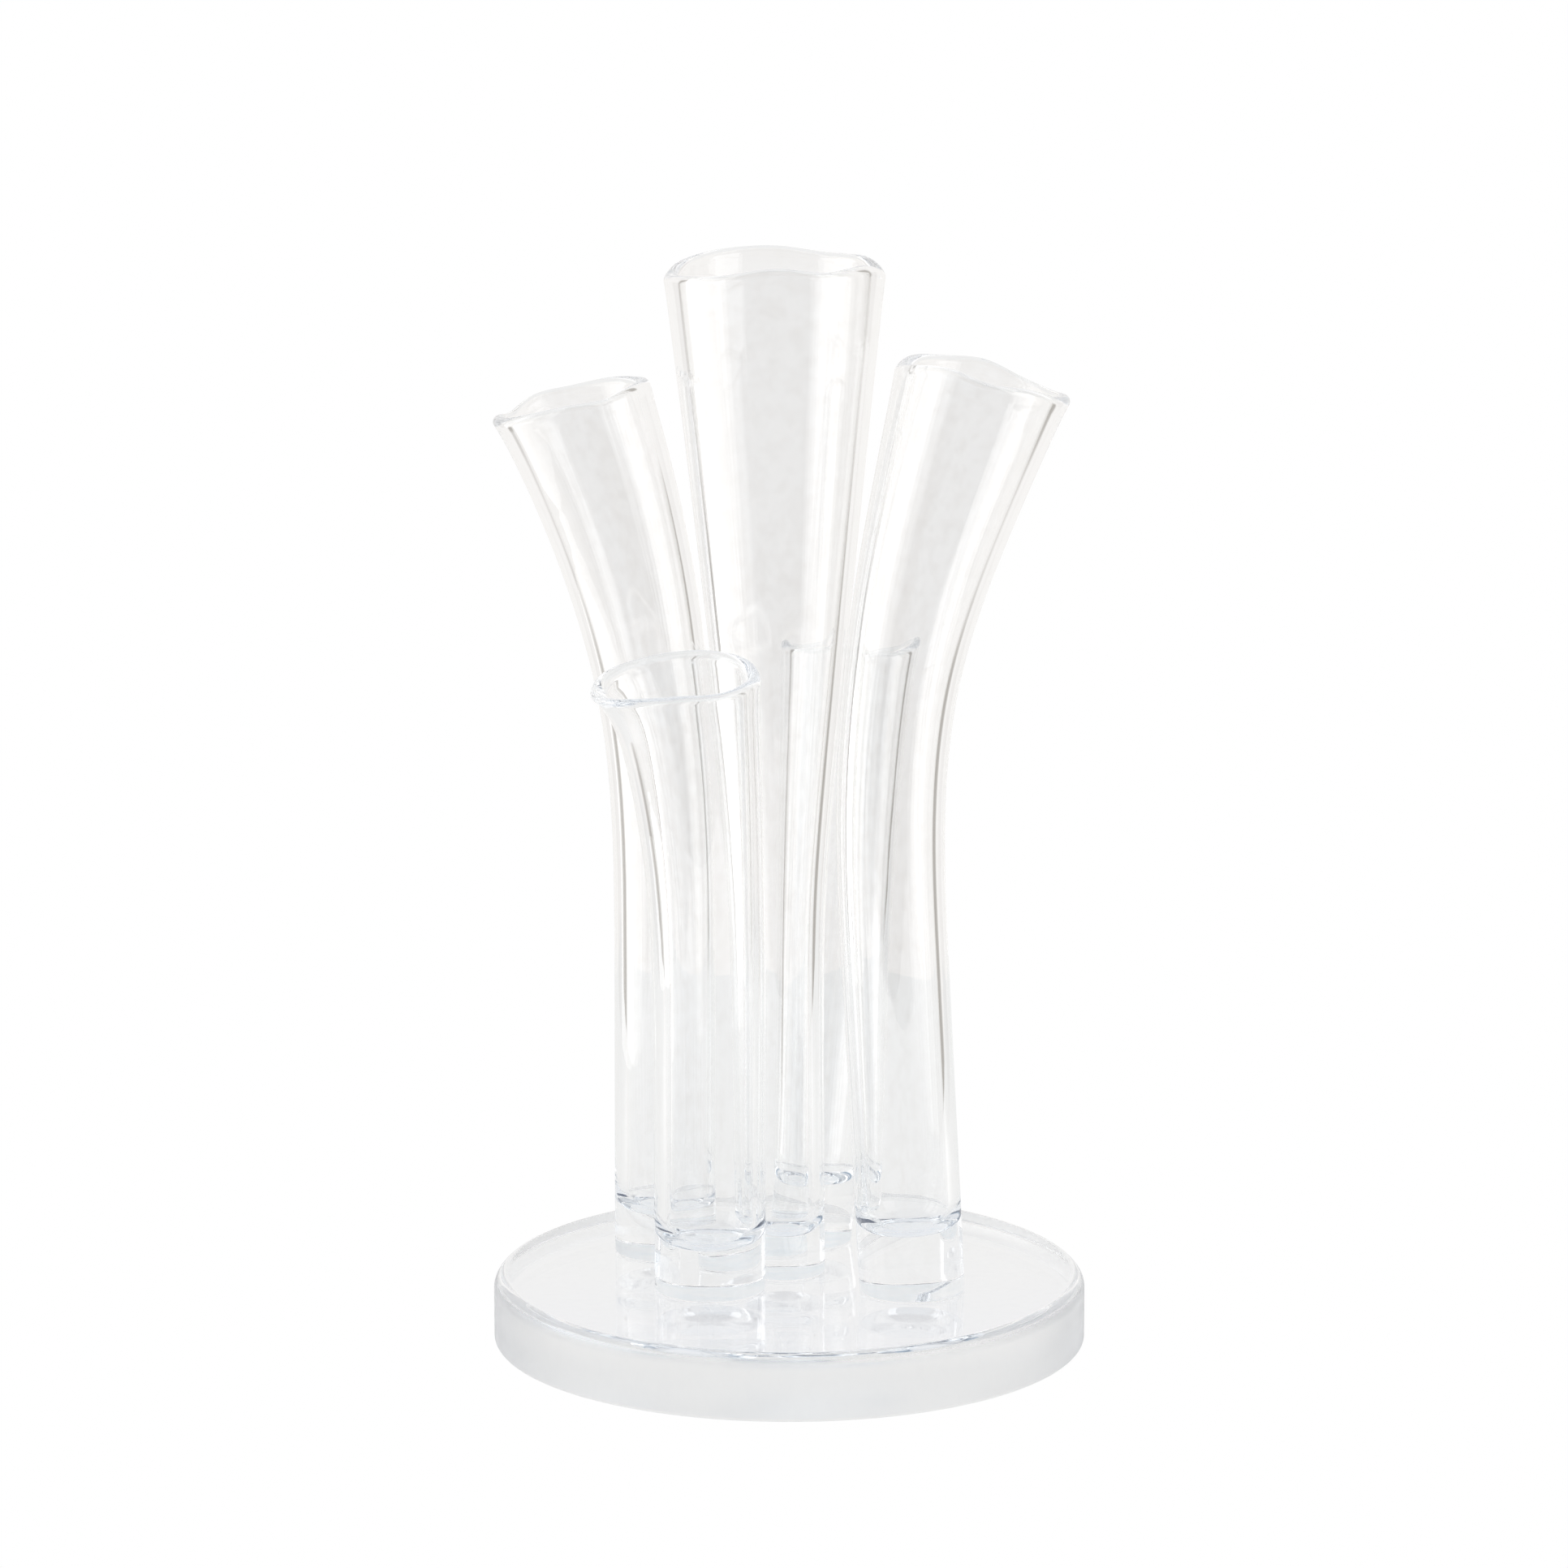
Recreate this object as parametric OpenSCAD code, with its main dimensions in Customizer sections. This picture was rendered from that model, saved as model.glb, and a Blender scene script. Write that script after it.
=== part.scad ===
// Glass bud vase: five clear tubes bonded to one thick glass disc.
// Units are millimetres, +Z is up, and the origin is the centre of the disc's underside.
// +X is the right-hand side and -Y is the front.

/* [Base disc] */
// Diameter of the disc
disc_d = 160; // [150:1:180]
// Thickness of the disc
disc_t = 18; // [12:0.5:25]
// Radius that rounds the top edge
disc_top_round = 4; // [1:0.5:6]
// Radius that rounds the bottom edge
disc_bottom_round = 1; // [0.5:0.5:3]

/* [Adhesive bonds] */
// Thickness of the cured adhesive under each tube
bond_t = 0.2; // [0.1:0.05:0.4]
// How far each adhesive film stops short of the edge of the foot
bond_inset = 0.3; // [0:0.1:1]

/* [All tubes] */
// Wall thickness where a tube is straight
wall = 3.2; // [2.6:0.1:3.6]
// Extra wall thickness that gathers at the fire-polished rim
rim_thickening = 1.1; // [0:0.1:1.2]
// Height over which the bottom of each bore is rounded
bore_round_h = 7; // [3:0.5:8]
// Width over which the bottom of each bore is rounded
bore_round_w = 4.5; // [2:0.5:6]
// Radius that softens the lower edge of each foot
foot_round = 0.6; // [0.3:0.1:1]

/* [Tall tube] */
// Centre of the foot on the disc, as x and y
tall_foot = [-1.3, -0.5]; // [-1.3:0.1:0.5]
// Length along the axis, from foot to rim
tall_length = 275; // [265:1:285]
// Radius of the foot
tall_foot_r = 11; // [10:0.1:11]
// Growth in radius per millimetre along the flared part
tall_flare = 0.107; // [0.06:0.001:0.107]
// Distance along the axis at which the flare begins
tall_flare_start = 104; // [104:1:120]
// Lean of the straight lower part in degrees, towards +X and towards +Y
tall_lean = [-0.55, 0]; // [-0.6:0.05:0.5]
// Solid glass between the foot and the bore
tall_floor = 11; // [8:0.5:20]

/* [Left tube] */
// Centre of the foot on the disc, as x and y
left_foot = [-33.5, 20]; // [-40:0.5:30]
// Length along the axis, from foot to rim
left_length = 239.5; // [230:0.5:250]
// Radius of the foot
left_foot_r = 14.2; // [12:0.1:15]
// Growth in radius per millimetre along the flared part
left_flare = 0.08; // [0.04:0.002:0.09]
// Distance along the axis at which the flare begins
left_flare_start = 153; // [140:1:170]
// Lean of the straight lower part in degrees, towards +X and towards +Y
left_lean = [0.2, 0]; // [-1:0.1:1]
// Lean that the bend adds in degrees, towards +X and towards +Y
left_bend = [-23.5, 0]; // [-26:0.5:2]
// Distances along the axis at which the bend begins and ends
left_bend_span = [84, 268]; // [80:1:290]
// Solid glass between the foot and the bore
left_floor = 12; // [8:0.5:20]

/* [Right tube] */
// Centre of the foot on the disc, as x and y
right_foot = [33, -18.5]; // [-40:0.5:40]
// Length along the axis, from foot to rim
right_length = 251; // [240:1:255]
// Radius of the foot
right_foot_r = 14.2; // [12:0.1:15]
// Growth in radius per millimetre along the flared part
right_flare = 0.104; // [0.05:0.001:0.11]
// Distance along the axis at which the flare begins
right_flare_start = 167; // [155:1:180]
// Lean of the straight lower part in degrees, towards +X and towards +Y
right_lean = [-3.1, 0]; // [-3.1:0.1:3]
// Lean that the bend adds in degrees, towards +X and towards +Y
right_bend = [20.8, 2.3]; // [0:0.1:24]
// Distances along the axis at which the bend begins and ends
right_bend_span = [93, 232]; // [90:1:240]
// Solid glass between the foot and the bore
right_floor = 17; // [8:0.5:20]

/* [Front tube] */
// Centre of the foot on the disc, as x and y
front_foot = [-21.3, -17.2]; // [-40:0.1:-17]
// Length along the axis, from foot to rim
front_length = 172; // [160:1:175]
// Radius of the foot
front_foot_r = 14.9; // [12:0.1:15]
// Growth in radius per millimetre along the flared part
front_flare = 0.085; // [0.04:0.005:0.09]
// Distance along the axis at which the flare begins
front_flare_start = 118; // [110:1:130]
// Lean of the straight lower part in degrees, towards +X and towards +Y
front_lean = [0, -5.4]; // [-6:0.1:0]
// Lean that the bend adds in degrees, towards +X and towards +Y
front_bend = [-15.6, 0]; // [-18:0.1:0]
// Distances along the axis at which the bend begins and ends
front_bend_span = [62, 252]; // [55:1:260]
// Solid glass between the foot and the bore
front_floor = 14; // [8:0.5:20]

/* [Back tube] */
// Centre of the foot on the disc, as x and y
back_foot = [4.5, 30.5]; // [-40:0.5:40]
// Length along the axis, from foot to rim
back_length = 165; // [155:1:175]
// Radius of the foot
back_foot_r = 12.6; // [11:0.1:14]
// Growth in radius per millimetre along the flared part
back_flare = 0.05; // [0.03:0.005:0.06]
// Distance along the axis at which the flare begins
back_flare_start = 24; // [20:1:40]
// Lean of the straight lower part in degrees, towards +X and towards +Y
back_lean = [4.8, 9]; // [0:0.1:9]
// Solid glass between the foot and the bore
back_floor = 16; // [8:0.5:20]

/* [Hidden] */

glass_tint = [0.86, 0.90, 0.92, 0.55];
bond_tint = [0.80, 0.88, 0.95, 0.8];

disc_fn = 128;
edge_fn = 48;
bond_fn = 64;
tube_sides = 28;
outer_steps = 18;
inner_steps = 16;
rim_steps = 3;
bore_round_steps = 3;
// Length over which the flare turns from straight to conical
flare_blend = 22;
// Length over which the rim opens out, measured back from the rim
lip_length = 6;
// Length over which the rings turn from lying flat on the disc to standing square to the axis
foot_square_length = 25;
// Share of the length at which the rim wave begins to grow
wave_from = 0.8;
// Length over which the gathered glass at the rim thins out into the wall
thickening_length = 12;
// Steps in which the axis is added up from foot to rim
axis_steps = 60;
no_bend = [0, 0];
no_bend_span = [0, 1];

// Rim heights above or below the mean plane, every 30 degrees counter-clockwise from +X
tall_rim = [-1.8, -0.2, -0.5, 0.9, 0.7, -0.5, -2.2, -1.1, 0.4, 2.6, 0.9, 1.3];
left_rim = [-2.6, -2.6, -1.3, 0, 1.8, 0.8, 2.6, 2.3, 2, 0.8, -1.6, -1.9];
right_rim = [1.5, 0.4, 0.6, 1.8, -0.2, -1.6, -3.9, -1.6, 0.9, 0.4, 1.8, 1.2];
front_rim = [-2.5, -1, 0, 0.7, 1, 1.3, 0.2, 1, 1.6, 1, -1.1, -1.8];
back_rim = [2.8, 1.7, -0.4, -1.2, -1.9, -1.7, -0.6, -1.7, -1.8, -1.2, -0.7, 1.2];

// Each tube as one list of its own dimensions:
// foot, length, foot radius, flare, flare start, lean, bend, bend span, floor, rim, lip, lip side.
// The lip is how far the rim opens out at least and at most, and the lip side is the angle from +X
// at which it opens the most.
TALL = [tall_foot, tall_length, tall_foot_r, tall_flare, tall_flare_start, tall_lean,
        no_bend, no_bend_span, tall_floor, tall_rim, [0.3, 0.3], 0];
LEFT = [left_foot, left_length, left_foot_r, left_flare, left_flare_start, left_lean,
        left_bend, left_bend_span, left_floor, left_rim, [0.5, 0.9], 180];
RIGHT = [right_foot, right_length, right_foot_r, right_flare, right_flare_start, right_lean,
         right_bend, right_bend_span, right_floor, right_rim, [0.4, 0.8], 0];
FRONT = [front_foot, front_length, front_foot_r, front_flare, front_flare_start, front_lean,
         front_bend, front_bend_span, front_floor, front_rim, [1.5, 6], 180];
BACK = [back_foot, back_length, back_foot_r, back_flare, back_flare_start, back_lean,
        no_bend, no_bend_span, back_floor, back_rim, [0.9, 1.5], 0];

function foot_of(t) = t[0];
function length_of(t) = t[1];
function foot_r_of(t) = t[2];
function flare_of(t) = t[3];
function flare_start_of(t) = t[4];
function lean_of(t) = t[5];
function bend_of(t) = t[6];
function bend_span_of(t) = t[7];
function floor_of(t) = t[8];
function rim_of(t) = t[9];
function lip_of(t) = t[10];
function lip_side_of(t) = t[11];

function smooth(x) = let(c = min(max(x, 0), 1)) c * c * (3 - 2 * c);
function unit(v) = v / norm(v);
function mix(a, b, f) = a * (1 - f) + b * f;

// Smooth closed curve through evenly spaced values: the value at a given angle
function around(values, angle) =
  let(
    n = len(values),
    p = angle / 360 * n,
    i = floor(p),
    f = p - i,
    v = [for (k = [-1:2]) values[(i + k + n) % n]]
  )
  0.5 * (2 * v[1] + (v[2] - v[0]) * f + (2 * v[0] - 5 * v[1] + 4 * v[2] - v[3]) * f * f
    + (3 * v[1] - v[0] - 3 * v[2] + v[3]) * f * f * f);

// Direction of the axis at distance s from the foot
function axis_dir(t, s) =
  let(
    span = bend_span_of(t),
    lean = lean_of(t) + bend_of(t) * smooth((s - span[0]) / (span[1] - span[0]))
  )
  unit([tan(lean[0]), tan(lean[1]), 1]);

// Points along the axis at equal steps, added up from the foot
function axis_points(t) =
  let(step = length_of(t) / axis_steps)
  [for (i = 0, p = [foot_of(t)[0], foot_of(t)[1], disc_t + bond_t];
        i <= axis_steps;
        p = p + step * axis_dir(t, (i + 0.5) * step), i = i + 1) p];

function axis_point(t, points, s) =
  let(
    p = min(max(s / length_of(t) * axis_steps, 0), axis_steps - 0.001),
    i = floor(p)
  )
  mix(points[i], points[i + 1], p - i);

// Outer radius without the lip: straight, then blending into a cone
function outer_r(t, s) =
  let(d = s - flare_start_of(t), d0 = flare_start_of(t))
  foot_r_of(t) + flare_of(t) / 2
    * (d + sqrt(d * d + flare_blend * flare_blend) + d0 - sqrt(d0 * d0 + flare_blend * flare_blend));

function lip_out(t, s, angle) =
  mix(lip_of(t)[0], lip_of(t)[1], 0.5 + 0.5 * cos(angle - lip_side_of(t)))
    * exp((s - length_of(t)) / lip_length);

function wall_at(t, s) = wall + rim_thickening * exp((s - length_of(t)) / thickening_length);

// One ring of points round the axis at distance s, with radius r and the rim wave scaled by wave
function ring(t, points, s, r, wave) =
  let(
    up = unit(mix([0, 0, 1], axis_dir(t, s), smooth(s / foot_square_length))),
    side = unit(cross([0, 1, 0], up)),
    back = cross(up, side),
    centre = axis_point(t, points, s)
  )
  [for (k = [0:tube_sides - 1])
    let(angle = 360 * k / tube_sides, out = r + lip_out(t, s, angle))
    centre + out * cos(angle) * side + out * sin(angle) * back
      + wave * around(rim_of(t), angle) * up];

// Rings from the foot up the outside, over the rim, down the bore and across its floor
function tube_rings(t) =
  let(
    points = axis_points(t),
    length = length_of(t),
    bore_foot = floor_of(t),
    bore_wall = bore_foot + bore_round_h,
    rim_r = wall_at(t, length) / 2,
    top = length - rim_r,
    wave_start = length * wave_from
  )
  [
    ring(t, points, 0, foot_r_of(t) - foot_round, 0),
    for (i = [0:outer_steps])
      let(s = foot_round + (top - foot_round) * i / outer_steps)
      ring(t, points, s, outer_r(t, s), smooth((s - wave_start) / (top - wave_start))),
    for (i = [1:rim_steps])
      let(a = 180 * i / (rim_steps + 1), s = top + rim_r * sin(a))
      ring(t, points, s, outer_r(t, top) - rim_r + rim_r * cos(a), 1),
    for (i = [0:inner_steps])
      let(s = top - (top - bore_wall) * i / inner_steps)
      ring(t, points, s, outer_r(t, s) - wall_at(t, s), smooth((s - wave_start) / (top - wave_start))),
    for (i = [1:bore_round_steps])
      let(a = 90 * i / bore_round_steps)
      ring(t, points, bore_wall - bore_round_h * sin(a),
        outer_r(t, bore_wall) - wall - bore_round_w * (1 - cos(a)), 0)
  ];

module tube(t) {
  rings = tube_rings(t);
  n = tube_sides;
  last = len(rings) - 1;
  corners = [for (one = rings) each one];
  faces = [
    [for (k = [0:n - 1]) k],
    for (j = [0:last - 1], k = [0:n - 1])
      let(a = j * n + k, b = j * n + (k + 1) % n)
      each [[a, a + n, b + n], [a, b + n, b]],
    [for (k = [n - 1:-1:0]) last * n + k]
  ];
  color(glass_tint)
    polyhedron(points = corners, faces = faces, convexity = 6);
}

module bond(t) {
  color(bond_tint)
    translate([foot_of(t)[0], foot_of(t)[1], disc_t])
      cylinder(h = bond_t, r = foot_r_of(t) - foot_round - bond_inset, $fn = bond_fn);
}

module base_disc() {
  r = disc_d / 2;
  color(glass_tint)
    rotate_extrude($fn = disc_fn)
      union() {
        square([r - disc_top_round, disc_t]);
        translate([0, disc_bottom_round])
          square([r, disc_t - disc_bottom_round - disc_top_round]);
        square([r - disc_bottom_round, disc_t / 2]);
        intersection() {
          translate([r - disc_top_round, disc_t - disc_top_round])
            circle(r = disc_top_round, $fn = edge_fn);
          square([r, disc_t]);
        }
        intersection() {
          translate([r - disc_bottom_round, disc_bottom_round])
            circle(r = disc_bottom_round, $fn = edge_fn);
          square([r, disc_t]);
        }
      }
}

module tall_tube() {
  tube(TALL);
}

module left_tube() {
  tube(LEFT);
}

module right_tube() {
  tube(RIGHT);
}

module front_tube() {
  tube(FRONT);
}

module back_tube() {
  tube(BACK);
}

module tall_bond() {
  bond(TALL);
}

module left_bond() {
  bond(LEFT);
}

module right_bond() {
  bond(RIGHT);
}

module front_bond() {
  bond(FRONT);
}

module back_bond() {
  bond(BACK);
}

base_disc();
tall_tube();
left_tube();
right_tube();
front_tube();
back_tube();
tall_bond();
left_bond();
right_bond();
front_bond();
back_bond();
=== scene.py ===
import math

import bmesh
import bpy
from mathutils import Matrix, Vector


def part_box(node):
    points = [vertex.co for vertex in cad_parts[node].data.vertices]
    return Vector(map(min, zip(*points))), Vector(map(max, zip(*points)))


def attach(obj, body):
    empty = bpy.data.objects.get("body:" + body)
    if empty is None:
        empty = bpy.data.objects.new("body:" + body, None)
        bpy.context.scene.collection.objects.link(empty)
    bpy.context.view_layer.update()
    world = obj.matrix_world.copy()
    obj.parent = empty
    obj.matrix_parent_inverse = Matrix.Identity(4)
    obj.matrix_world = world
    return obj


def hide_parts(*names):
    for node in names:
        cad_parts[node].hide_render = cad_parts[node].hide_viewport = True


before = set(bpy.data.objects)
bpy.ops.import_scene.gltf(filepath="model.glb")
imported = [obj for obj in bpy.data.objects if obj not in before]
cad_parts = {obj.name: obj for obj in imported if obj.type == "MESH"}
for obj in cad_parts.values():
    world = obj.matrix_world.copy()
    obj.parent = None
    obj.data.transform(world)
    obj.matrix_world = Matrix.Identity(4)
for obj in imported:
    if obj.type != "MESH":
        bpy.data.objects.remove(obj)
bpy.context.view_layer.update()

MM = 0.001

# ---------------------------------------------------------------- sizes, in metres, from the frame
DISC_LOW, DISC_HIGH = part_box("base_disc")
DISC_R = (DISC_HIGH.x - DISC_LOW.x) / 2
DISC_TOP = DISC_HIGH.z
FOOT_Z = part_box("tall_bond")[1].z

# The same dimensions as the CAD, in millimetres and degrees
DISC_TOP_ROUND = 4
DISC_BOTTOM_ROUND = 1
WALL = 3.2
RIM_THICKENING = 1.1
THICKENING_LENGTH = 12
BORE_ROUND_H = 7
BORE_ROUND_W = 4.5
FOOT_ROUND = 0.6
FLARE_BLEND = 22
LIP_LENGTH = 6
FOOT_SQUARE_LENGTH = 25
AXIS_STEPS = 60
WAVE_START = 0.8

# Mesh resolution
SIDES = 96
OUTER_STEPS = 120
INNER_STEPS = 110
RIM_STEPS = 12
ROUND_STEPS = 8
DISC_SIDES = 256
# Width in millimetres of the ring that holds a flat face flat next to its rounded edge
EDGE_HOLD = 0.3

# Mesh attribute that keeps each corner's place in the straight tube it was drawn as
DRAWN = "drawn"

# Every tube: foot (x, y), length, foot radius, flare per mm, where the flare begins, lean and bend in
# degrees towards +X and +Y, where the bend begins and ends, solid floor, rim heights every 30 degrees
# counter-clockwise from +X, lip (least, most) and the side where the lip is widest.
TUBES = {
    "tall_tube": dict(
        foot=(-1.3, -0.5), length=275, foot_r=11, flare=0.107, flare_start=104,
        lean=(-0.55, 0), bend=(0, 0), span=(0, 1), floor=11,
        rim=(-1.8, -0.2, -0.5, 0.9, 0.7, -0.5, -2.2, -1.1, 0.4, 2.6, 0.9, 1.3),
        lip=(0.3, 0.3), lip_side=0,
    ),
    "left_tube": dict(
        foot=(-33.5, 20), length=239.5, foot_r=14.2, flare=0.08, flare_start=153,
        lean=(0.2, 0), bend=(-23.5, 0), span=(84, 268), floor=12,
        rim=(-2.6, -2.6, -1.3, 0, 1.8, 0.8, 2.6, 2.3, 2, 0.8, -1.6, -1.9),
        lip=(0.5, 0.9), lip_side=180,
    ),
    "right_tube": dict(
        foot=(33, -18.5), length=251, foot_r=14.2, flare=0.104, flare_start=167,
        lean=(-3.1, 0), bend=(20.8, 2.3), span=(93, 232), floor=17,
        rim=(1.5, 0.4, 0.6, 1.8, -0.2, -1.6, -3.9, -1.6, 0.9, 0.4, 1.8, 1.2),
        lip=(0.4, 0.8), lip_side=0,
    ),
    "front_tube": dict(
        foot=(-21.3, -17.2), length=172, foot_r=14.9, flare=0.085, flare_start=118,
        lean=(0, -5.4), bend=(-15.6, 0), span=(62, 252), floor=14,
        rim=(-2.5, -1, 0, 0.7, 1, 1.3, 0.2, 1, 1.6, 1, -1.1, -1.8),
        lip=(1.5, 6), lip_side=180,
    ),
    "back_tube": dict(
        foot=(4.5, 30.5), length=165, foot_r=12.6, flare=0.05, flare_start=24,
        lean=(4.8, 9), bend=(0, 0), span=(0, 1), floor=16,
        rim=(2.8, 1.7, -0.4, -1.2, -1.9, -1.7, -0.6, -1.7, -1.8, -1.2, -0.7, 1.2),
        lip=(0.9, 1.5), lip_side=0,
    ),
}


# ---------------------------------------------------------------- the tubes' shape
def smooth(x):
    c = min(max(x, 0.0), 1.0)
    return c * c * (3 - 2 * c)


def around(values, angle):
    """Smooth closed curve through evenly spaced values, at an angle in degrees."""
    n = len(values)
    p = angle / 360 * n
    i = math.floor(p)
    f = p - i
    a, b, c, d = (values[(i + k) % n] for k in (-1, 0, 1, 2))
    return 0.5 * (
        2 * b + (c - a) * f + (2 * a - 5 * b + 4 * c - d) * f**2 + (3 * b - a - 3 * c + d) * f**3
    )


def axis_dir(t, s):
    turn = smooth((s - t["span"][0]) / (t["span"][1] - t["span"][0]))
    lean = [math.radians(t["lean"][k] + t["bend"][k] * turn) for k in (0, 1)]
    return Vector((math.tan(lean[0]), math.tan(lean[1]), 1)).normalized()


def axis_points(t):
    step = t["length"] / AXIS_STEPS
    points = [Vector((t["foot"][0], t["foot"][1], FOOT_Z / MM))]
    for i in range(AXIS_STEPS):
        points.append(points[-1] + step * axis_dir(t, (i + 0.5) * step))
    return points


def axis_point(t, points, s):
    p = min(max(s / t["length"] * AXIS_STEPS, 0), AXIS_STEPS - 0.001)
    i = math.floor(p)
    return points[i].lerp(points[i + 1], p - i)


def outer_r(t, s):
    d, d0 = s - t["flare_start"], t["flare_start"]
    blend = FLARE_BLEND**2
    return t["foot_r"] + t["flare"] / 2 * (d + math.sqrt(d * d + blend) + d0 - math.sqrt(d0 * d0 + blend))


def lip_out(t, s, angle):
    least, most = t["lip"]
    share = 0.5 + 0.5 * math.cos(math.radians(angle - t["lip_side"]))
    return (least + (most - least) * share) * math.exp((s - t["length"]) / LIP_LENGTH)


def wall_at(t, s):
    return WALL + RIM_THICKENING * math.exp((s - t["length"]) / THICKENING_LENGTH)


def ring(t, points, s, r, wave):
    """Corners round the axis at distance s, each with its place in the straight tube it was drawn as."""
    up = Vector((0, 0, 1)).lerp(axis_dir(t, s), smooth(s / FOOT_SQUARE_LENGTH)).normalized()
    side = Vector((0, 1, 0)).cross(up).normalized()
    back = up.cross(side)
    centre = axis_point(t, points, s)
    corners = []
    for k in range(SIDES):
        angle = 360 * k / SIDES
        a = math.radians(angle)
        out = r + lip_out(t, s, angle)
        rise = wave * around(t["rim"], angle)
        corner = centre + out * math.cos(a) * side + out * math.sin(a) * back + rise * up
        drawn = Vector((t["foot_r"] * math.cos(a), t["foot_r"] * math.sin(a), s))
        corners.append((corner * MM, drawn * MM))
    return corners


def tube_rings(t):
    """Rings from the foot up the outside, over the rim, down the bore and across its floor."""
    points = axis_points(t)
    length = t["length"]
    bore_wall = t["floor"] + BORE_ROUND_H
    rim_r = wall_at(t, length) / 2
    top = length - rim_r
    start = length * WAVE_START

    def wave(s):
        return smooth((s - start) / (top - start))

    rings = []
    for i in range(ROUND_STEPS):
        a = math.pi / 2 * i / ROUND_STEPS
        r = t["foot_r"] - FOOT_ROUND * (1 - math.sin(a))
        rings.append(ring(t, points, FOOT_ROUND * (1 - math.cos(a)), r, 0))
    for i in range(OUTER_STEPS + 1):
        s = FOOT_ROUND + (top - FOOT_ROUND) * i / OUTER_STEPS
        rings.append(ring(t, points, s, outer_r(t, s), wave(s)))
    for i in range(1, RIM_STEPS):
        a = math.pi * i / RIM_STEPS
        r = outer_r(t, top) - rim_r * (1 - math.cos(a))
        rings.append(ring(t, points, top + rim_r * math.sin(a), r, 1))
    for i in range(INNER_STEPS + 1):
        s = top - (top - bore_wall) * i / INNER_STEPS
        rings.append(ring(t, points, s, outer_r(t, s) - wall_at(t, s), wave(s)))
    for i in range(1, ROUND_STEPS + 1):
        a = math.pi / 2 * i / ROUND_STEPS
        r = outer_r(t, bore_wall) - WALL - BORE_ROUND_W * (1 - math.cos(a))
        rings.append(ring(t, points, bore_wall - BORE_ROUND_H * math.sin(a), r, 0))
    return rings


def new_object(name, mesh, materials):
    o = bpy.data.objects.new(name, mesh)
    bpy.context.scene.collection.objects.link(o)
    for m in materials:
        mesh.materials.append(m)
    return o


def lofted_mesh(name, rings):
    """Closed mesh through a list of rings, with flat caps. The first cap gets the second material."""
    n = len(rings[0])
    corners = [p for one in rings for p, _ in one]
    faces = [tuple(reversed(range(n)))]
    for j in range(len(rings) - 1):
        for k in range(n):
            a, b = j * n + k, j * n + (k + 1) % n
            faces.append((a, b, b + n, a + n))
    last = (len(rings) - 1) * n
    faces.append(tuple(range(last, last + n)))
    mesh = bpy.data.meshes.new(name)
    mesh.from_pydata(corners, [], faces)
    for f in mesh.polygons:
        f.use_smooth = len(f.vertices) == 4
    mesh.polygons[0].material_index = 1
    drawn = mesh.attributes.new(DRAWN, "FLOAT_VECTOR", "POINT")
    for i, (_, place) in enumerate(p for one in rings for p in one):
        drawn.data[i].vector = place
    mesh.update()
    return mesh


def make_tube(node, materials):
    t = TUBES[node]
    mesh = lofted_mesh(node + "_glass", tube_rings(t))
    o = new_object(node + "_glass", mesh, materials)
    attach(o, "root")
    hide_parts(node)
    return o


# ---------------------------------------------------------------- the disc
def disc_profile():
    """Radius and height of each ring, from the bottom face's edge up to the top face's edge."""
    top_r, low_r = DISC_TOP_ROUND * MM, DISC_BOTTOM_ROUND * MM
    hold = EDGE_HOLD * MM
    profile = []
    for i in range(ROUND_STEPS + 1):
        a = math.pi / 2 * i / ROUND_STEPS
        profile.append((DISC_R - low_r * (1 - math.sin(a)), low_r * (1 - math.cos(a))))
    profile.append((DISC_R, low_r + hold))
    profile.append((DISC_R, DISC_TOP - top_r - hold))
    for i in range(2 * ROUND_STEPS + 1):
        a = math.pi / 2 * i / (2 * ROUND_STEPS)
        profile.append((DISC_R - top_r * (1 - math.cos(a)), DISC_TOP - top_r * (1 - math.sin(a))))
    profile.append((DISC_R - top_r - hold, DISC_TOP))
    return profile


def circle(cx, cy, r, z, n):
    angles = [math.tau * k / n for k in range(n)]
    return [Vector((cx + r * math.cos(a), cy + r * math.sin(a), z)) for a in angles]


def make_disc(materials):
    """A revolved disc whose top face has a separate round patch under each foot, for the bonded contact."""
    bm = bmesh.new()
    rings = [[bm.verts.new(p) for p in circle(0, 0, r, z, DISC_SIDES)] for r, z in disc_profile()]
    n = DISC_SIDES
    for low, high in zip(rings, rings[1:]):
        for k in range(n):
            f = bm.faces.new((low[k], low[(k + 1) % n], high[(k + 1) % n], high[k]))
            f.smooth = True
    bm.faces.new(list(reversed(rings[0])))
    rim_edges = [bm.edges.get((rings[-1][k], rings[-1][(k + 1) % n])) for k in range(n)]
    hole_edges = []
    for t in TUBES.values():
        r = (t["foot_r"] - FOOT_ROUND) * MM
        loop = [bm.verts.new(p) for p in circle(t["foot"][0] * MM, t["foot"][1] * MM, r, DISC_TOP, SIDES)]
        hole_edges += [bm.edges.new((loop[k], loop[(k + 1) % SIDES])) for k in range(SIDES)]
        patch = bm.faces.new(loop)
        patch.material_index = 1
    bmesh.ops.triangle_fill(bm, edges=rim_edges + hole_edges, use_beauty=True, normal=(0, 0, 1))
    bmesh.ops.recalc_face_normals(bm, faces=bm.faces)
    mesh = bpy.data.meshes.new("base_disc_glass")
    bm.to_mesh(mesh)
    bm.free()
    o = new_object("base_disc_glass", mesh, materials)
    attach(o, "root")
    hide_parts("base_disc")
    return o


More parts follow.
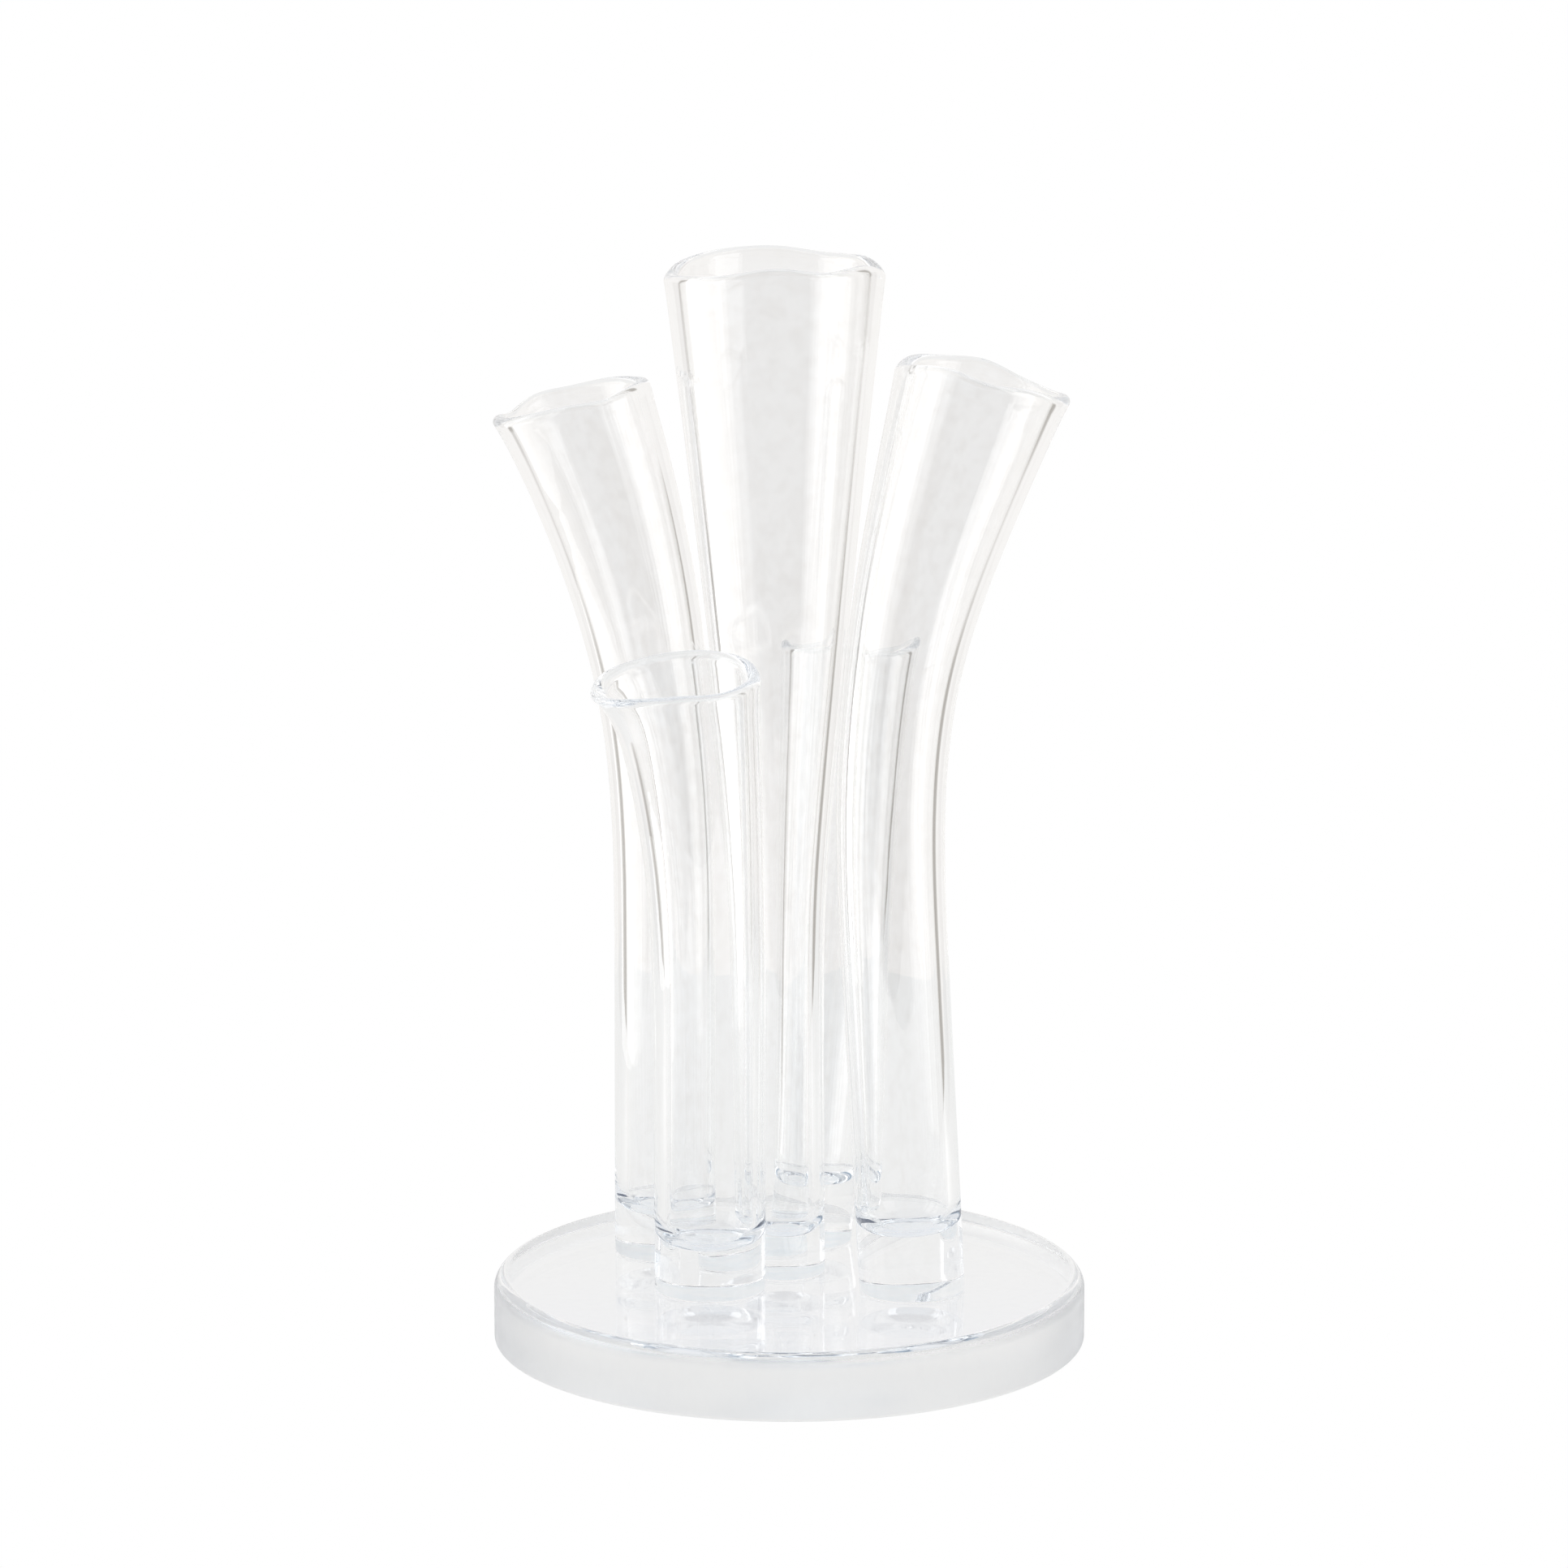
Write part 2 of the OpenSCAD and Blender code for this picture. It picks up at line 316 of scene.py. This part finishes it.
# ---------------------------------------------------------------- shader helpers
class Shader:
    """A node tree with short calls for maths, noise and colour ramps."""

    def __init__(self, tree, output):
        self.nodes, self.links = tree.nodes, tree.links
        self.nodes.clear()
        self.out = self.nodes.new(output)

    def put(self, value, socket):
        if isinstance(value, bpy.types.NodeSocket):
            self.links.new(value, socket)
        elif isinstance(value, tuple) and len(value) == 3 and len(socket.default_value) == 4:
            socket.default_value = (*value, 1)
        else:
            socket.default_value = value

    def node(self, kind, output, settings=None, **sockets):
        n = self.nodes.new(kind)
        for key, value in (settings or {}).items():
            setattr(n, key, value)
        for key, value in sockets.items():
            self.put(value, n.inputs[key.replace("_", " ")])
        return n.outputs[output]

    def maths(self, operation, a, b=0.0):
        n = self.nodes.new("ShaderNodeMath")
        n.operation = operation
        self.put(a, n.inputs[0])
        self.put(b, n.inputs[1])
        return n.outputs[0]

    def ease(self, value, low, high, to_low=0.0, to_high=1.0):
        """Smooth change from to_low to to_high while the value goes from low to high."""
        n = self.nodes.new("ShaderNodeMapRange")
        n.interpolation_type = "SMOOTHSTEP"
        self.put(value, n.inputs["Value"])
        for name, number in (("From Min", low), ("From Max", high), ("To Min", to_low), ("To Max", to_high)):
            self.put(number, n.inputs[name])
        return n.outputs[0]

    def colours(self, share, a, b):
        n = self.nodes.new("ShaderNodeMix")
        n.data_type = "RGBA"
        n.clamp_factor = True
        self.put(share, n.inputs["Factor"])
        self.put(a, n.inputs[6])
        self.put(b, n.inputs[7])
        return n.outputs[2]

    def noise(self, place, stretch, scale, detail=2.0):
        """Noise in metres: a scale of 100 gives features about 10 mm across."""
        pulled = self.node("ShaderNodeMapping", 0, Vector=place, Scale=stretch)
        return self.node("ShaderNodeTexNoise", 0, Vector=pulled, Scale=scale, Detail=detail)


def new_material(name):
    m = bpy.data.materials.new(name)
    m.use_nodes = True
    return m, Shader(m.node_tree, "ShaderNodeOutputMaterial")


# ---------------------------------------------------------------- materials
# Roughness of the faint handling marks
SMUDGE = 0.02
# Distances in from the disc's edge: where its ripples calm down, and where the satin begins and is full
CALM_FROM = 8 * MM
SATIN_FROM = 1.8 * MM
SATIN_FULL = 0.4 * MM


def glass(name, tint, mottled, line_depth, line_stretch, foot_ripple, body_ripple, drawn=False, satin=0.0):
    """Clear glass with drawn lines, slow ripples, a faintly mottled tint and faint handling marks.

    Drawn lines follow the tube through its bends. Where satin is above zero, the upright side of the
    disc is softly satin instead of polished.
    """
    m, s = new_material(name)
    place = s.node("ShaderNodeTexCoord", "Object")
    along = s.node("ShaderNodeAttribute", "Vector", {"attribute_name": DRAWN}) if drawn else place
    lines = s.noise(along, line_stretch, 1, 3)
    ripples = s.noise(place, (1, 1, 1), 45, 2)
    split = s.nodes.new("ShaderNodeSeparateXYZ")
    s.put(place, split.inputs[0])
    x, y, z = split.outputs["X"], split.outputs["Y"], split.outputs["Z"]
    ripple_depth = s.ease(z, 0.03, 0.09, foot_ripple, body_ripple)
    marks = s.noise(place, (1, 1, 1), 70, 5)
    rough = s.ease(marks, 0.5, 0.85, 0, SMUDGE)
    if satin:
        out = s.maths("SQRT", s.maths("ADD", s.maths("MULTIPLY", x, x), s.maths("MULTIPLY", y, y)))
        calm = s.ease(out, DISC_R - CALM_FROM, DISC_R - DISC_TOP_ROUND * MM, 1.0, 0.1)
        ripple_depth = s.maths("MULTIPLY", ripple_depth, calm)
        side = s.ease(out, DISC_R - SATIN_FROM, DISC_R - SATIN_FULL)
        streaks = s.noise(place, (1, 1, 4), 30, 4)
        frosted = s.ease(streaks, 0.3, 0.7, satin, 0.7 * satin)
        rough = s.maths("ADD", rough, s.maths("MULTIPLY", side, frosted))
    lined = s.node("ShaderNodeBump", 0, Strength=1.0, Distance=line_depth, Height=lines)
    rippled = s.node("ShaderNodeBump", 0, Strength=1.0, Distance=ripple_depth, Height=ripples, Normal=lined)
    cloud = s.noise(along, (1, 1, 0.5), 420, 6)
    colour = s.colours(s.ease(cloud, 0.45, 0.65), tint, mottled)
    bsdf = s.node(
        "ShaderNodeBsdfPrincipled", 0, Base_Color=colour, Transmission_Weight=1.0, IOR=1.5,
        Roughness=rough, Normal=rippled,
    )
    s.put(bsdf, s.out.inputs["Surface"])
    return m


def straight_through(name, low, high, scale):
    """Bonded contact: glass, adhesive and glass share one refractive index, so light goes straight on."""
    m, s = new_material(name)
    place = s.node("ShaderNodeTexCoord", "Object")
    spread = s.noise(place, (1, 1, 1), scale, 3)
    clear = s.node("ShaderNodeBsdfTransparent", 0, Color=s.colours(s.ease(spread, 0.35, 0.65), low, high))
    s.put(clear, s.out.inputs["Surface"])
    return m


tube_glass = glass(
    "tube_glass", tint=(0.995, 0.997, 0.997), mottled=(0.974, 0.973, 0.97),
    line_depth=0.02 * MM, line_stretch=(160, 160, 1.5), foot_ripple=0.15 * MM, body_ripple=0.03 * MM,
    drawn=True,
)
disc_glass = glass(
    "disc_glass", tint=(0.985, 0.99, 0.992), mottled=(0.97, 0.975, 0.98),
    line_depth=0.01 * MM, line_stretch=(20, 60, 60), foot_ripple=0.06 * MM, body_ripple=0.06 * MM,
    satin=0.4,
)
bonded = straight_through("bonded_contact", (1, 1, 1), (0.99, 0.995, 1), 400)
adhesive = straight_through("bond_adhesive", (0.95, 0.972, 0.99), (0.98, 0.99, 1), 300)

for node in TUBES:
    make_tube(node, [tube_glass, bonded])
make_disc([disc_glass, bonded])
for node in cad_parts:
    if node.endswith("_bond"):
        o = bpy.data.objects[node]
        o.data.materials.clear()
        o.data.materials.append(adhesive)


# ---------------------------------------------------------------- studio
# The table is just wide enough for the softboxes to stand beside it, reaching below its edge.
TABLE_HALF_WIDTH = 0.32
TABLE_BACK = 0.41
TABLE_FRONT = -0.4
TABLE_DROP = 0.0004
TABLE_TONE = (0.875, 0.875, 0.87)
# Painted bluish light: the front of the table gets a cooler tone, as if blue light fell on it
TABLE_FRONT_PAINTED_BLUE_LIGHT = (0.855, 0.86, 0.885)
BACKDROP_TONE = (0.94, 0.925, 0.91)
ROOM_TONE = (0.38, 0.46, 0.55)
ROOM_FLOOR_TONE = (0.08, 0.09, 0.12)
CEILING_BACK_TONE = (0.89, 0.89, 0.90)
CEILING_FRONT_TONE = (0.03, 0.045, 0.10)
GAP_TONE = (0.42, 0.40, 0.37)

# Where the room's tones begin to show and are full: in degrees away from the middle of the backdrop,
# and for the ceiling as the upward share of the direction looked in
GAP_NEAR = (44, 50)
GAP_FAR = (66, 58)
ROOM_TURN = (95, 130)
CEILING_RISE = (0.45, 0.7)

SOFTBOX_GLOW = 1.25
SOFTBOX_AWAY = 0.9
SOFTBOX_LOW = -0.3
SOFTBOX_HIGH = 0.85

CAMERA_PLACE = (-0.00145, -1.87, 0.565)
CAMERA_PITCH = -12.425
CAMERA_LENS = 164.6
BOUNCES = 240


def seen_white(s, kind, other):
    """White where the camera looks straight at it, and a studio tone in glass."""
    seen = s.node("ShaderNodeLightPath", "Is Camera Ray")
    white = s.node(kind, 0, Color=(1, 1, 1))
    mix = s.nodes.new("ShaderNodeMixShader")
    s.put(seen, mix.inputs[0])
    s.put(other, mix.inputs[1])
    s.put(white, mix.inputs[2])
    s.put(mix.outputs[0], s.out.inputs["Surface"])


def make_table():
    """Pale table top with painted light: painted bluish light towards the front and painted pools of softbox
    light beside the softboxes.
    """
    m, s = new_material("table_top")
    place = s.node("ShaderNodeNewGeometry", "Position")
    split = s.nodes.new("ShaderNodeSeparateXYZ")
    s.put(place, split.inputs[0])
    x, y = split.outputs["X"], split.outputs["Y"]
    # Painted light: the table's front half is tinted bluish as if lit by blue light, not its own colour
    tone = s.colours(s.ease(y, -0.08, 0.08), TABLE_FRONT_PAINTED_BLUE_LIGHT, TABLE_TONE)
    sideways = s.maths("ABSOLUTE", x)
    # Painted pools of light: the table glows brighter beside the softboxes instead of being lit by them
    painted_softbox_pool = s.maths("MULTIPLY", s.ease(sideways, 0.12, 0.30), s.ease(y, 0.2, 0.05))
    painted_pool_strength = s.maths("ADD", 1.0, s.maths("MULTIPLY", painted_softbox_pool, SOFTBOX_GLOW - 0.9))
    seen_white(s, "ShaderNodeEmission", s.node("ShaderNodeEmission", 0, Color=tone, Strength=painted_pool_strength))
    w, z = TABLE_HALF_WIDTH, -TABLE_DROP
    mesh = bpy.data.meshes.new("table_top")
    corners = [(-w, TABLE_FRONT, z), (w, TABLE_FRONT, z), (w, TABLE_BACK, z), (-w, TABLE_BACK, z)]
    mesh.from_pydata(corners, [], [(0, 1, 2, 3)])
    new_object("table_top", mesh, [m])


def make_world():
    """Pale backdrop, dim gaps between it and the softboxes, a bluish room behind the camera.

    The room shows only where the glass mirrors it, so the glass stays clear from every side.
    """
    world = bpy.data.worlds.new("studio")
    bpy.context.scene.world = world
    world.use_nodes = True
    s = Shader(world.node_tree, "ShaderNodeOutputWorld")
    place = s.node("ShaderNodeTexCoord", "Generated")
    split = s.nodes.new("ShaderNodeSeparateXYZ")
    s.put(place, split.inputs[0])
    x, y, z = split.outputs["X"], split.outputs["Y"], split.outputs["Z"]
    turn = s.maths("DEGREES", s.maths("ARCTAN2", x, y))
    aside = s.maths("ABSOLUTE", turn)
    room = s.colours(s.ease(z, -0.03, 0.05), ROOM_FLOOR_TONE, ROOM_TONE)
    mirrored = s.ease(s.node("ShaderNodeLightPath", "Glossy Depth"), 0, 1)
    tone = s.colours(s.maths("MULTIPLY", s.ease(aside, *ROOM_TURN), mirrored), BACKDROP_TONE, room)
    gap = s.maths("MULTIPLY", s.ease(aside, *GAP_NEAR), s.ease(aside, *GAP_FAR))
    low = s.maths("MULTIPLY", s.ease(z, 0.08, 0.0), s.ease(z, -0.5, -0.35))
    tone = s.colours(s.maths("MULTIPLY", gap, low), tone, GAP_TONE)
    ceiling = s.colours(s.ease(y, -0.12, 0.02), CEILING_FRONT_TONE, CEILING_BACK_TONE)
    tone = s.colours(s.ease(z, *CEILING_RISE), tone, ceiling)
    seen_white(s, "ShaderNodeBackground", s.node("ShaderNodeBackground", 0, Color=tone, Strength=1.0))


def softbox(name, first, last):
    """Upright soft panel that spans two angles seen from the vase, from the camera's side to the right.

    It shows where the glass mirrors it. Straight through the glass, the pale backdrop shows instead.
    """
    a = math.radians((first + last) / 2)
    away = Vector((math.sin(a), -math.cos(a), 0))
    light = bpy.data.lights.new(name, "AREA")
    light.shape = "RECTANGLE"
    light.size = 2 * SOFTBOX_AWAY * math.tan(math.radians(abs(last - first) / 2))
    light.size_y = SOFTBOX_HIGH - SOFTBOX_LOW
    light.energy = SOFTBOX_GLOW * math.pi * light.size * light.size_y
    light.use_nodes = True
    s = Shader(light.node_tree, "ShaderNodeOutputLight")
    mirrored = s.ease(s.node("ShaderNodeLightPath", "Glossy Depth"), 0, 1)
    s.put(s.node("ShaderNodeEmission", 0, Color=(1, 1, 1), Strength=mirrored), s.out.inputs["Surface"])
    o = bpy.data.objects.new(name, light)
    bpy.context.scene.collection.objects.link(o)
    o.location = away * SOFTBOX_AWAY + Vector((0, 0, (SOFTBOX_LOW + SOFTBOX_HIGH) / 2))
    o.rotation_euler = (-away).to_track_quat("-Z", "Y").to_euler()


def make_camera():
    data = bpy.data.cameras.new("camera")
    data.lens = CAMERA_LENS
    data.sensor_width = 36
    data.clip_end = 50
    o = bpy.data.objects.new("camera", data)
    bpy.context.scene.collection.objects.link(o)
    o.location = CAMERA_PLACE
    o.rotation_euler = (math.radians(90 + CAMERA_PITCH), 0, 0)
    bpy.context.scene.camera = o


make_camera()
make_table()
make_world()
softbox("softbox_left", -57, -116)
softbox("softbox_right", 41, 80)

# Light inside a thick rim bounces many times before it comes out
scene = bpy.context.scene
scene.view_settings.view_transform = "Standard"
for limit in ("max_bounces", "transmission_bounces", "transparent_max_bounces", "glossy_bounces"):
    setattr(scene.cycles, limit, BOUNCES)
